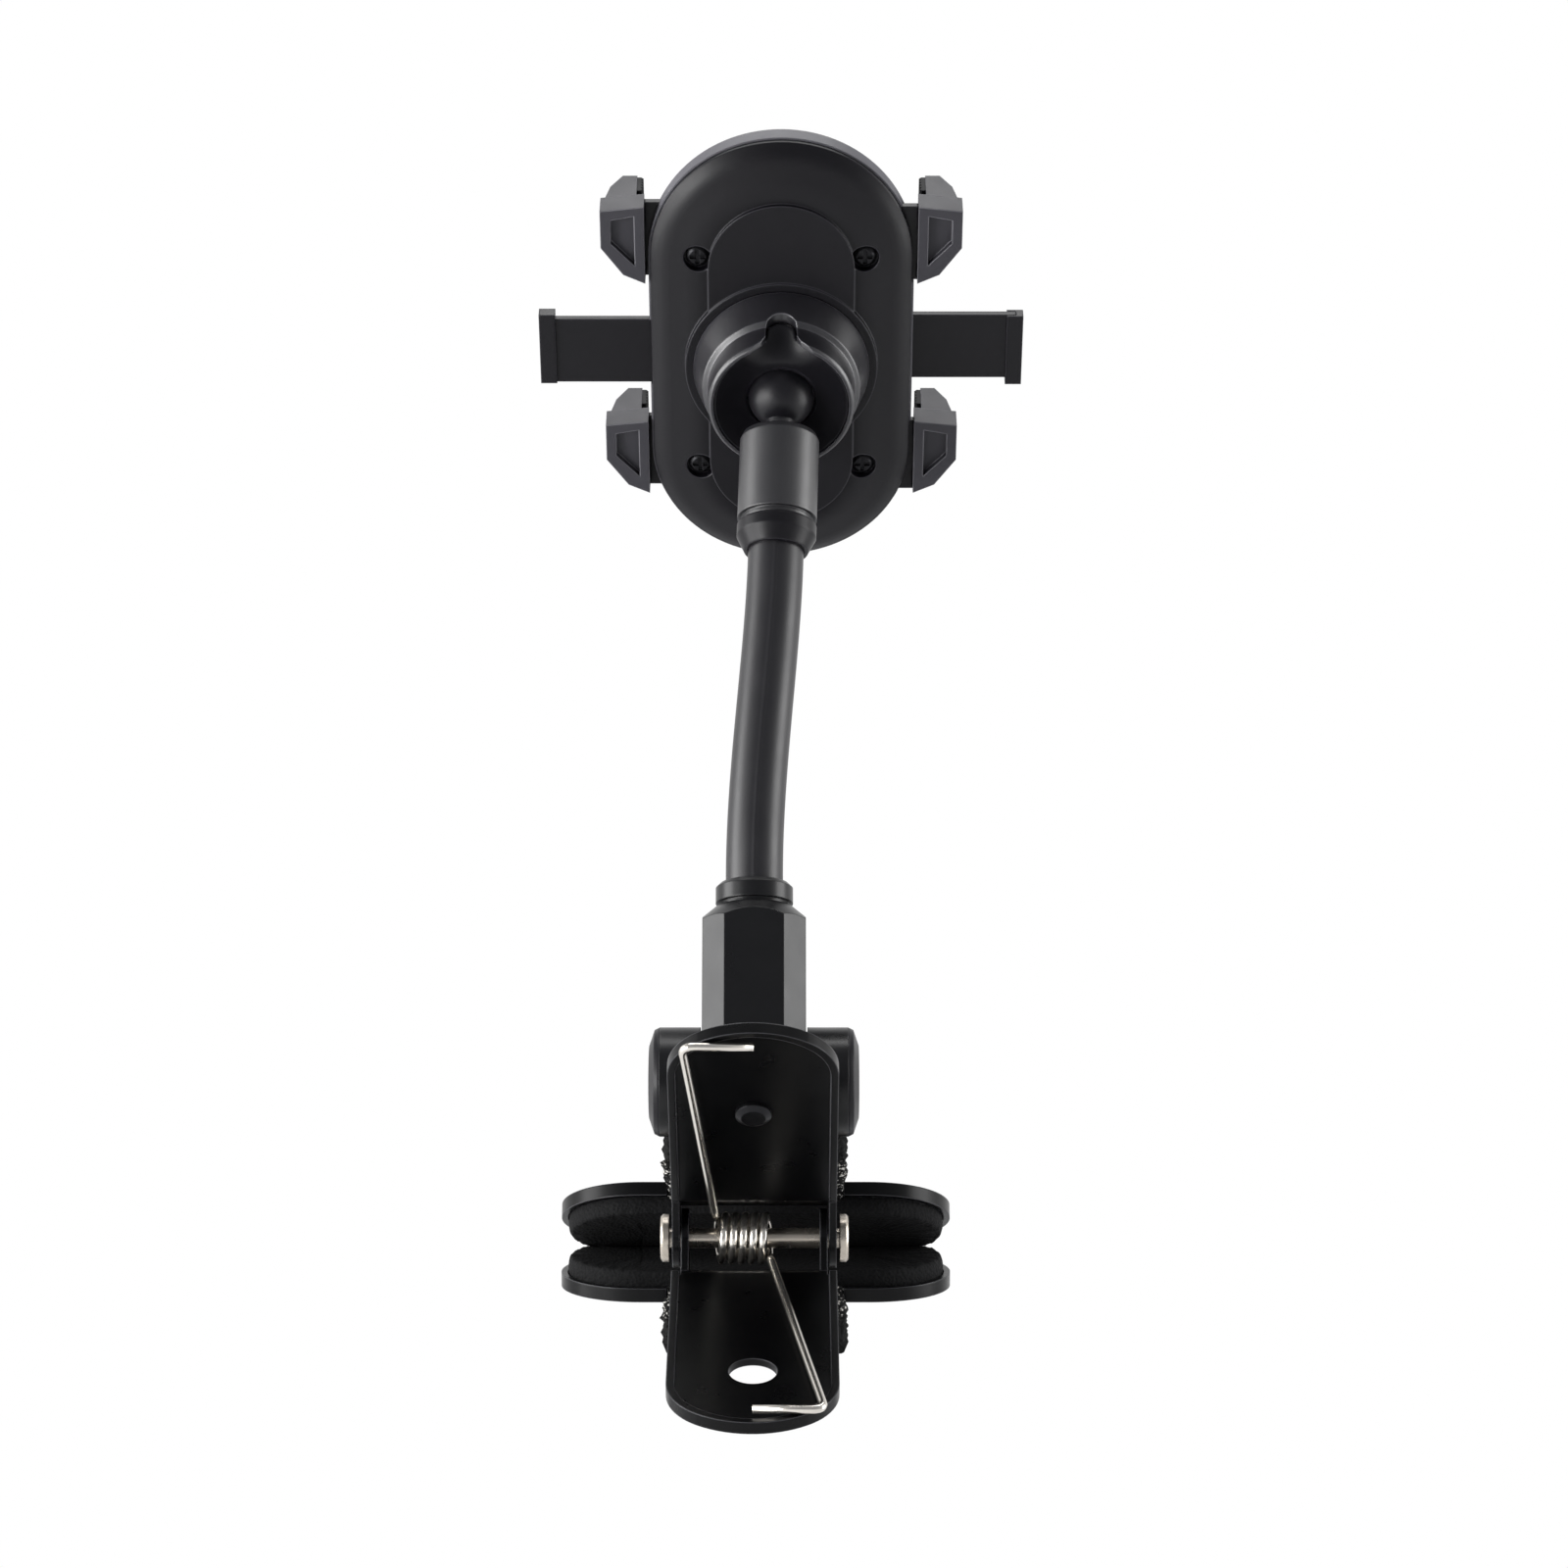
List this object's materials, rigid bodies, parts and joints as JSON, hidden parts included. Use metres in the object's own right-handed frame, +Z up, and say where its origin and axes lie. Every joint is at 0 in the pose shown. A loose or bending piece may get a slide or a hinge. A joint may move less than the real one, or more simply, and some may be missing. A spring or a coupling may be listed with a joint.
{
  "type": "guitar phone holder",
  "caption": "Spring clip for a guitar headstock that carries a phone cradle with spring-loaded side clamps on a bendable neck with a tilting hinge and a ball joint.",
  "frame": {"origin": "middle of the grip, halfway between the two jaw foams", "axes": "+Y out of the jaws' mouth, away from the handles; +Z up the neck; +X to the right as seen from the handles"},
  "size_m": [0.1072, 0.1249, 0.2774],
  "materials": {
    "plated_black_steel": "satin black coat",
    "jaw_foam": "open-cell foam",
    "black_steel_pin": "black",
    "bright_spring_steel": "bright",
    "screw_steel": "dull",
    "black_plastic": "fine texture",
    "grey_plastic": "fine texture",
    "neck_rubber": "matte",
    "pad_rubber": "matte"
  },
  "bodies": {
    "clip_upper": {"upper_lever": "plated_black_steel", "upper_jaw_foam": "jaw_foam", "pivot_pin": "black_steel_pin", "clip_spring": "bright_spring_steel", "hinge_base": "black_plastic", "hinge_base_screw": "screw_steel", "hinge_bolt": "screw_steel", "hinge_nut": "screw_steel", "hinge_end_caps": "black_plastic"},
    "clip_lower": {"lower_lever": "plated_black_steel", "lower_jaw_foam": "jaw_foam"},
    "neck_base": {"neck_socket": "black_plastic", "neck_lower_collar": "black_plastic", "neck_sleeve": "neck_rubber", "neck_core": "screw_steel"},
    "neck_top": {"neck_upper_collar": "black_plastic"},
    "stem": {"ball_stem": "black_plastic"},
    "socket": {"lock_nut": "black_plastic"},
    "cradle": {"back_cover": "black_plastic", "front_shell": "grey_plastic", "cover_screws": "screw_steel", "return_springs": "screw_steel"},
    "gear": {"pinion": "black_plastic"},
    "right_clamps": {"slider_a": "black_plastic", "right_clamp_blocks": "grey_plastic", "right_clamp_pads": "pad_rubber", "left_tab_grip": "black_plastic"},
    "left_clamps": {"slider_b": "black_plastic", "left_clamp_blocks": "grey_plastic", "left_clamp_pads": "pad_rubber", "right_tab_grip": "black_plastic"}
  },
  "joints": [
    {"name": "jaw_open", "type": "hinge", "parent": "clip_upper", "child": "clip_lower", "pos_m": [0, -0.042, 0], "axis": [-1, 0, 0], "range_deg": [0, 30], "stiffness_Nm_per_rad": 1.5, "springref_deg": -28.65, "deforming": ["clip_spring"]},
    {"name": "neck_tilt", "type": "hinge", "parent": "clip_upper", "child": "neck_base", "pos_m": [0, -0.0614, 0.0314], "axis": [-1, 0, 0], "range_deg": [-36, 60]},
    {"name": "neck_bend", "type": "hinge", "parent": "neck_base", "child": "neck_top", "pos_m": [0.0028, -0.0485, 0.1125], "axis": [-1, 0, 0], "range_deg": [-25, 25], "deforming": ["neck_sleeve", "neck_core"]},
    {"name": "stem_spin", "type": "hinge", "parent": "neck_top", "child": "stem", "pos_m": [0.0056, -0.0335, 0.1834], "axis": [0.0306, 0.225, 0.9739], "continuous": true},
    {"name": "ball_tilt", "type": "hinge", "parent": "stem", "child": "socket", "pos_m": [0.0056, -0.0335, 0.1834], "axis": [1, 0, 0], "range_deg": [-3, 67]},
    {"name": "cradle_swivel", "type": "hinge", "parent": "socket", "child": "cradle", "pos_m": [0.0056, -0.0335, 0.1834], "axis": [0, -0.7071, -0.7071], "continuous": true},
    {"name": "clamp_open", "type": "slide", "parent": "cradle", "child": "right_clamps", "axis": [1, 0, 0], "range_m": [0, 0.015], "stiffness_N_per_m": 200, "springref_m": -0.02, "deforming": ["return_springs"]},
    {"name": "clamp_follow", "type": "slide", "parent": "cradle", "child": "left_clamps", "axis": [-1, 0, 0], "range_m": [0, 0.015]},
    {"name": "pinion_turn", "type": "hinge", "parent": "cradle", "child": "gear", "pos_m": [0.0056, -0.02042, 0.19648], "axis": [0, 0.7071, 0.7071], "range_deg": [-20, 200]}
  ],
  "couplings": [
    {"joint": "clamp_follow", "follows": "clamp_open", "ratio": 1},
    {"joint": "pinion_turn", "follows": "clamp_open", "rad_per_m": 200}
  ]
}
